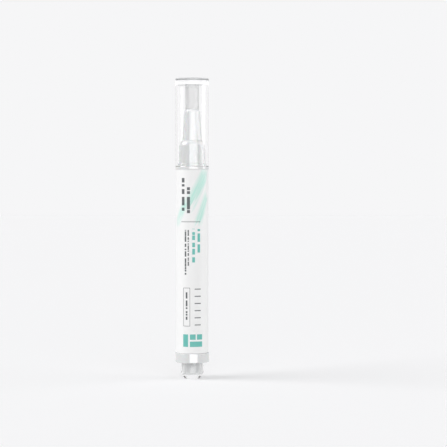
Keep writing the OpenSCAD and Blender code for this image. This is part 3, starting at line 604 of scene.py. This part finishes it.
# The thread's section, as (radius, height from its middle). Its foot is sunk in the core.
THREAD_SECTION = ((1.6, -0.5), (SCREW_R, -0.2), (SCREW_R, 0.2), (1.6, 0.5))

bm = turned([(0, SCREW_Z[0]), (SCREW_ROOT_R, SCREW_Z[0], 0.2), (SCREW_ROOT_R, SCREW_Z[1], 0.15),
             (0, SCREW_Z[1])], SCREW_STEPS)
for side in (-1, 1):
    flat = bmesh.ops.bisect_plane(bm, geom=bm.verts[:] + bm.edges[:] + bm.faces[:],
                                  plane_co=(side * SCREW_FLAT_R * MM, 0, 0),
                                  plane_no=(side, 0, 0), clear_outer=True)["geom_cut"]
    bmesh.ops.contextual_create(bm, geom=[e for e in flat if isinstance(e, bmesh.types.BMEdge)])
core = bpy.data.meshes.new("screw_core")
bm.to_mesh(core)
bm.free()
bm = turned([(0, SCREW_Z[1] - SCREW_LAP), (SCREW_NECK_R, SCREW_Z[1] - SCREW_LAP),
             (SCREW_NECK_R, SCREW_HEAD_Z[0], 0.15), (SCREW_HEAD_R, SCREW_HEAD_Z[0], 0.1),
             (SCREW_HEAD_R, SCREW_HEAD_Z[1], 0.35), (0, SCREW_HEAD_Z[1])], SCREW_STEPS)
bm.from_mesh(core)
# The thread stands only between the flats, so each half turn of it is an arc of its own.
for i in range(THREAD_ARCS):
    middle = SCREW_Z[0] + THREAD_START + THREAD_LEAD / 2 * i
    low = middle - THREAD_LEAD * THREAD_ARC / (4 * math.pi)
    first = Matrix.Rotation(math.pi / 2 + math.pi * i - THREAD_ARC / 2, 3, "Z")
    corners = [bm.verts.new(first @ metres(r, 0, low + up)) for r, up in THREAD_SECTION]
    section = bm.faces.new(corners)
    rise = THREAD_LEAD * MM * THREAD_ARC / (2 * math.pi * THREAD_STEPS)
    bmesh.ops.spin(bm, geom=[section] + list(section.edges) + corners, cent=(0, 0, 0),
                   axis=(0, 0, 1), dvec=(0, 0, rise), angle=THREAD_ARC, steps=THREAD_STEPS,
                   use_merge=False, use_duplicate=False)
bmesh.ops.recalc_face_normals(bm, faces=bm.faces[:])
screw = piece("threaded_screw", bm, white_acetal)
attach(screw, "screw")
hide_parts("lead_screw")

# Polyethylene without pigment: milky and waxy, softer in its sheen than polypropylene.
waxy_pe = finish("natural polyethylene, moulded", grain=1.2, rough=(0.38, 0.5), depth=0.003,
                 Base_Color=linear("#E6E8E8"), IOR=1.51,
                 Subsurface_Weight=0.2, Subsurface_Scale=2 * MM)
recoat("piston", waxy_pe)


# Nozzle
# The tapered nozzle that carries the brush, with the flange that the cap stands on: natural
# polypropylene, moulded in one piece with the plug that seals the barrel by three ribs.
FLANGE_R, PLUG_END_Z, NOZZLE_TIP_Z = reach("nozzle")
PLUG_GAP = 0.2
PLUG_WALL = 1
PLUG_R = BORE_R - PLUG_GAP
PLUG_IN_R = PLUG_R - PLUG_WALL
PLUG_Z = (PLUG_END_Z, BARREL_Z[1])
SEAL_RIB_COUNT = 3
SEAL_RIB_R = BORE_R - PRESS_GAP
# Half the height of a sealing rib at its foot and at its crest.
SEAL_RIB_HALF = (0.4, 0.2)
FLANGE_H = 1.2
FLANGE_TOP_Z = BARREL_Z[1] + FLANGE_H
# The faces that lie further out than this are the flange's.
FLANGE_FACES_R = 6.7
SEAT_R = 6.6
SEAT_H = 1.35
SEAT_TOP_Z = FLANGE_TOP_Z + SEAT_H
SKIRT_R = (6.05, 5.8)
SKIRT_H = 7.7
SKIRT_TOP_Z = SEAT_TOP_Z + SKIRT_H
SHOULDER_R = 3.606
SHOULDER_CENTRE_R = 2.2
SHOULDER_ARC = math.radians(52.4)
SHOULDER_STEPS = 10
TIP_BEVEL_H = 1.6
# Radii and heights of the cone's top and the tip, and inside of the ferrule's socket, the
# channel under it and the hollow cone.
CONE_TOP = (3.6, NOZZLE_TIP_Z - TIP_BEVEL_H)
NOZZLE_TIP = (2.497, NOZZLE_TIP_Z)
FERRULE_DEPTH = 8.5
FERRULE_SOCKET = (1.52, NOZZLE_TIP_Z - FERRULE_DEPTH)
CHANNEL_L = 2
OIL_CHANNEL = (0.4, FERRULE_SOCKET[1] - CHANNEL_L)
CAVITY_BEND_H = 2.85
CAVITY = ((3.1, OIL_CHANNEL[1]), (3.4, SKIRT_TOP_Z + CAVITY_BEND_H), (4.8, SKIRT_TOP_Z),
          (5.05, SEAT_TOP_Z))

outline = [(PLUG_IN_R, PLUG_Z[0]), (PLUG_R, PLUG_Z[0], EDGE)]
for i in range(SEAL_RIB_COUNT):
    middle = PLUG_Z[0] + (PLUG_Z[1] - PLUG_Z[0]) * (i + 1) / (SEAL_RIB_COUNT + 1)
    foot, crest = SEAL_RIB_HALF
    outline += [(PLUG_R, middle - foot), (SEAL_RIB_R, middle - crest),
                (SEAL_RIB_R, middle + crest), (PLUG_R, middle + foot)]
outline += [(PLUG_R, PLUG_Z[1]), (FLANGE_R, PLUG_Z[1], FINE_EDGE),
            (FLANGE_R, FLANGE_TOP_Z, FINE_EDGE), (SEAT_R, FLANGE_TOP_Z),
            (SEAT_R, SEAT_TOP_Z, 0.25), (SKIRT_R[0], SEAT_TOP_Z), (SKIRT_R[1], SKIRT_TOP_Z)]
for i in range(1, SHOULDER_STEPS + 1):
    angle = SHOULDER_ARC * i / SHOULDER_STEPS
    outline.append((SHOULDER_CENTRE_R + SHOULDER_R * math.cos(angle),
                    SKIRT_TOP_Z + SHOULDER_R * math.sin(angle)))
outline += [(*CONE_TOP, 0.1), (*NOZZLE_TIP, 0.1), (FERRULE_SOCKET[0], NOZZLE_TIP_Z),
            FERRULE_SOCKET, (OIL_CHANNEL[0], FERRULE_SOCKET[1]), OIL_CHANNEL, *CAVITY,
            (PLUG_IN_R, PLUG_Z[1])]
nozzle = piece("tapered_nozzle", turned(outline), natural_pp)
# The flange's faces, moulded with the nozzle, take the rings' greyer base, which is painted
# shade.
refinish(nozzle, polished_pp_painted_shade, lambda r, z: r > FLANGE_FACES_R)
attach(nozzle, "pen_body")
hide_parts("nozzle")


# Ferrule, feed tube and brush
# A short natural tube in the nozzle grips the bristles, which are nylon, tapered, cut to a dome
# and pressed round the steel tube that feeds them.
recoat("brush_ferrule", natural_pp)
recoat("feed_tube", steel)

# Nylon bristle: pale and half clear, so half of the light that meets a strand goes through it.
nylon = finish("nylon bristle, extruded", grain=0.5, rough=(0.3, 0.4), depth=0.001,
               Base_Color=linear("#F8F8F6"), IOR=1.53)
tree = nylon.node_tree
through = add(tree, "BsdfTranslucent", {"Color": linear("#FBFBF9")})
half = add(tree, "MixShader", {0: 0.5, 1: tree.nodes["Principled BSDF"], 2: through})
tree.links.new(half.outputs[0], tree.nodes["Material Output"].inputs["Surface"])

STRAND_R = 0.045
STRAND_SIDES = 6
STRAND_KINDS = 6
STRAND_PITCH = 0.0865
STRAND_TAPER = (1, 0.99, 0.98, 0.96, 0.92, 0.86, 0.75)
STRAND_STEPS = len(STRAND_TAPER)
STRAND_SWAY = 0.012
STRAND_TRIM = 0.35
SEED = 11
BRUSH_END_Z = reach("brush_bristles")[1]
BRUSH_BACK_T = 0.8
BRUSH_BACK_Z = (BRUSH_END_Z, BRUSH_END_Z + BRUSH_BACK_T)
BRUSH_BACK_R = (0.4, 1.14)
BRUSH_BACK_STEPS = 48
# The strands are sunk a little in their backing, and show past the nozzle's tip.
STRAND_SUNK = 0.2
STRAND_SHOW = 7.6
BRUSH_Z = (BRUSH_BACK_Z[1] - STRAND_SUNK, NOZZLE_TIP_Z + STRAND_SHOW)
BRUSH_R = (0.41, 1.10)
BRUSH_TIP_R = 1.17
BRUSH_DOME = 2.2
# Past the feed tube's end the strands draw in: from a height, over a length, by a share.
DRAW_IN_Z = NOZZLE_TIP_Z + 0.3
DRAW_IN_L = 4
DRAW_IN_SHARE = 0.75

draws = random.Random(SEED)
kinds = []
# A few kinds of strand, each one unit tall and a little uneven, are made once and copied.
for kind in range(STRAND_KINDS):
    bm = bmesh.new()
    bmesh.ops.create_circle(bm, segments=STRAND_SIDES, radius=STRAND_R * MM, cap_ends=True)
    tip = bm.faces[:]
    for i, taper in enumerate(STRAND_TAPER):
        extruded = bmesh.ops.extrude_face_region(bm, geom=tip)["geom"]
        tip = [f for f in extruded if isinstance(f, bmesh.types.BMFace)]
        tip_verts = list({v for f in tip for v in f.verts})
        sway = STRAND_SWAY * (i + 1) / STRAND_STEPS * MM
        bmesh.ops.translate(bm, verts=tip_verts, vec=(
            draws.uniform(-sway, sway), draws.uniform(-sway, sway), 1 / STRAND_STEPS))
        centre = sum((v.co for v in tip_verts), Vector()) / len(tip_verts)
        bmesh.ops.scale(bm, verts=tip_verts, vec=(taper, taper, 1),
                        space=Matrix.Translation(-centre))
    bmesh.ops.recalc_face_normals(bm, faces=bm.faces[:])
    kinds.append(bpy.data.meshes.new("strand"))
    bm.to_mesh(kinds[-1])
    bm.free()

bm = turned([(BRUSH_BACK_R[0], BRUSH_BACK_Z[0]), (BRUSH_BACK_R[1], BRUSH_BACK_Z[0], 0.05),
             (BRUSH_BACK_R[1], BRUSH_BACK_Z[1], 0.05), (BRUSH_BACK_R[0], BRUSH_BACK_Z[1])],
            BRUSH_BACK_STEPS)

# The strands stand in rings, side by side, each ring turned half a strand from the last.
spots = []
for ring in range(int((BRUSH_R[1] - BRUSH_R[0]) / STRAND_PITCH) + 1):
    r = BRUSH_R[1] - ring * STRAND_PITCH
    count = round(2 * math.pi * r / STRAND_PITCH)
    spots += [(r, 2 * math.pi * (i + ring / 2) / count) for i in range(count)]
for i, (r, angle) in enumerate(spots):
    dome = BRUSH_DOME * (r / BRUSH_R[1]) ** 2
    length = BRUSH_Z[1] - BRUSH_Z[0] - dome - draws.uniform(0, STRAND_TRIM)
    lean = r * (BRUSH_TIP_R / BRUSH_R[1] - 1)
    strand = kinds[i % STRAND_KINDS].copy()
    strand.transform(Matrix.Rotation(angle, 4, "Z")
                     @ Matrix(((1, 0, lean * MM, r * MM), (0, 1, 0, 0),
                               (0, 0, length * MM, BRUSH_Z[0] * MM), (0, 0, 0, 1))))
    bm.from_mesh(strand)
    bpy.data.meshes.remove(strand)

for vert in bm.verts:
    past = min(1, max(0, (vert.co.z / MM - DRAW_IN_Z) / DRAW_IN_L))
    r = math.hypot(vert.co.x, vert.co.y) / MM
    if past and r:
        eased = past * past * (3 - 2 * past)
        kept = 1 - DRAW_IN_SHARE * eased * max(0, 1 - r / BRUSH_TIP_R)
        vert.co.x *= kept
        vert.co.y *= kept
brush = piece("bristle_bundle", bm, nylon, sharp=60)
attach(brush, "pen_body")
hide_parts("brush_bristles")


# Cap
# The clear cap: styrene-acrylonitrile, moulded in one piece with a thick end and the inner
# sleeve that closes on the nozzle's tip. It slides on the nozzle's seat ring.
CAP_R, *CAP_Z = reach("cap")
CAP_WALL = 0.85
CAP_IN_R = CAP_R - CAP_WALL
CAP_END_T = 2.9
CAP_ROOF_Z = CAP_Z[1] - CAP_END_T
SLEEVE_R = 3.05
SLEEVE_WALL = 0.75
SLEEVE_BORE_R = SLEEVE_R - SLEEVE_WALL
# The sleeve's mouth opens out over the nozzle's bevelled tip: its end, its seat on the tip's
# edge and the start of its bore, as heights from the tip.
SLEEVE_END_Z = NOZZLE_TIP_Z - 0.75
SLEEVE_SEAT = (2.5, NOZZLE_TIP_Z + 0.1)
SLEEVE_BORE_Z = NOZZLE_TIP_Z + 0.25
# The sleeve's outer faces lie between these radii and below the roof, the end's above a height.
SLEEVE_FACES_R = (SLEEVE_BORE_R + 0.1, SLEEVE_R + 0.02)
SLEEVE_FACES_Z = CAP_ROOF_Z - 0.1
END_FACES_Z = CAP_Z[1] - EDGE

# Clear styrene-acrylonitrile: colourless, with bright faces and thin dark edges.
clear_san = finish("clear styrene-acrylonitrile, polished",
                   grain=6.0, rough=(0.01, 0.03), depth=0.001,
                   Base_Color=linear("#FFFFFF"), IOR=1.57, Transmission_Weight=1.0)

# The outside of the sleeve is frosted, and paler than the button's hollow.
sleeve_side = finish("clear styrene-acrylonitrile, sleeve side",
                     grain=0.6, rough=(0.32, 0.40), depth=0.004,
                     Base_Color=linear("#F9F9F9"), IOR=1.57, Transmission_Weight=0.25)

# The end face is left matt by the mould, and its grey colour is painted shade: it stands for the
# dark band that the end shows from the side. It looks grey from above and darkens the end's
# sides.
matt_end_painted_shade = finish("clear styrene-acrylonitrile, matt end, painted shade",
                  grain=0.4, rough=(0.30, 0.38), depth=0.003,
                  Base_Color=linear("#C0C4C6"), IOR=1.57, Transmission_Weight=0.6)

outline = [(CAP_IN_R, CAP_Z[0]), (CAP_R, CAP_Z[0], EDGE), (CAP_R, CAP_Z[1], EDGE), (0, CAP_Z[1]),
           (0, CAP_ROOF_Z), (SLEEVE_BORE_R, CAP_ROOF_Z), (SLEEVE_BORE_R, SLEEVE_BORE_Z, 0.1),
           SLEEVE_SEAT, (SLEEVE_R, SLEEVE_END_Z, 0.1), (SLEEVE_R, CAP_ROOF_Z, 0.5),
           (CAP_IN_R, CAP_ROOF_Z)]
cap = piece("clear_cap", turned(outline), clear_san)
refinish(cap, sleeve_side, lambda r, z: SLEEVE_FACES_R[0] < r < SLEEVE_FACES_R[1]
         and z < SLEEVE_FACES_Z)
# The end's faces get the matt finish with its painted grey shade.
refinish(cap, matt_end_painted_shade, lambda r, z: z > END_FACES_Z)
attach(cap, "cap")
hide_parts("cap")
